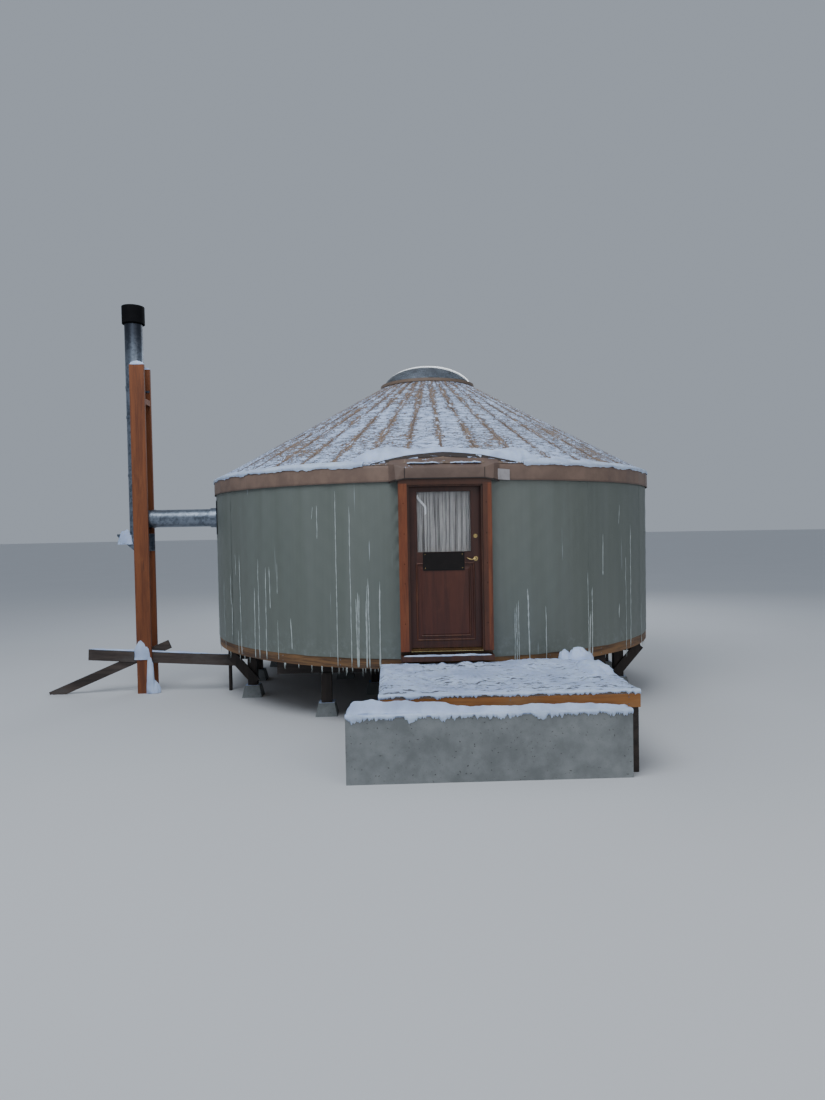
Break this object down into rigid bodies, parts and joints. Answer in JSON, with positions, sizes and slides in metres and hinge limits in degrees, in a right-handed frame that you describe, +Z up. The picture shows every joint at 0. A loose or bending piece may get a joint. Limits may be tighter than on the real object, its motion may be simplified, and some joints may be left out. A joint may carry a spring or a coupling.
{
  "type": "platform yurt",
  "caption": "Round lattice-wall tent with a conical rafter roof and domed skylight, on a raised timber floor, with a hinged half-glazed door, a landing and an outside flue.",
  "frame": {"origin": "middle of the underside of the centre foot, on the ground under the middle of the round floor", "axes": "+Z up, -Y out through the door, +X to the right for somebody who faces the door from outside"},
  "size_m": [9.7648, 9.1013, 6.157],
  "materials": {
    "concrete": "rough",
    "dark_timber": "weathered",
    "rim_timber": "stained",
    "floor_wood": "oiled",
    "lattice_wood": "planed",
    "frame_wood": "stained",
    "door_wood": "varnished",
    "post_stain": "stained",
    "fascia_stain": "stained",
    "grey_timber": "weathered",
    "wall_fabric": "coated",
    "roof_fabric": "coated",
    "curtain_fabric": "woven",
    "acrylic": "clear",
    "door_glass": "clear",
    "galvanised": "galvanised",
    "steel_cable": "bright",
    "ring_trim": "satin",
    "black_metal": "matt",
    "brass": "polished",
    "sign_paint": "matt"
  },
  "bodies": {
    "yurt": {"post_footings": "concrete", "concrete_step": "concrete", "platform_posts": "dark_timber", "floor_girders": "dark_timber", "floor_joists": "dark_timber", "platform_struts": "dark_timber", "rim_band": "rim_timber", "floor_deck": "floor_wood", "lattice_outer_slats": "lattice_wood", "lattice_inner_slats": "lattice_wood", "rafters": "lattice_wood", "centre_ring": "lattice_wood", "flue_wall_frame": "lattice_wood", "left_jamb": "frame_wood", "right_jamb": "frame_wood", "head_jamb": "frame_wood", "door_casing": "frame_wood", "door_sill": "frame_wood", "flue_posts": "post_stain", "landing_fascia": "fascia_stain", "tie_beam": "grey_timber", "diagonal_brace": "grey_timber", "landing_boards": "grey_timber", "landing_frame": "grey_timber", "wall_cover": "wall_fabric", "roof_cover": "roof_fabric", "valance": "roof_fabric", "door_valance": "roof_fabric", "rain_diverter": "roof_fabric", "dome": "acrylic", "flue_pipe": "galvanised", "flue_tee": "galvanised", "flue_bands": "galvanised", "flue_bracket": "galvanised", "wall_flashing": "galvanised", "dome_ring": "ring_trim", "eave_cable": "steel_cable", "flue_cap": "black_metal", "threshold": "brass", "frame_hinges": "brass"},
    "door": {"door_leaf": "door_wood", "door_panel": "door_wood", "door_glass": "door_glass", "glazing_beads": "door_wood", "door_curtain": "curtain_fabric", "curtain_rods": "steel_cable", "sign_plate": "sign_paint", "door_lock": "brass", "door_hinges": "brass"},
    "lever": {"lever_handle": "brass"}
  },
  "joints": [
    {"name": "door_swing", "type": "hinge", "parent": "yurt", "child": "door", "pos_m": [-0.461, -3.4765, 2], "axis": [0, 0, 1], "range_deg": [0, 100]},
    {"name": "lever_turn", "type": "hinge", "parent": "door", "child": "lever", "pos_m": [0.38, -3.5, 2.147], "axis": [0, -1, 0], "range_deg": [0, 40], "stiffness_Nm_per_rad": 1.5, "springref_deg": -17.19}
  ]
}
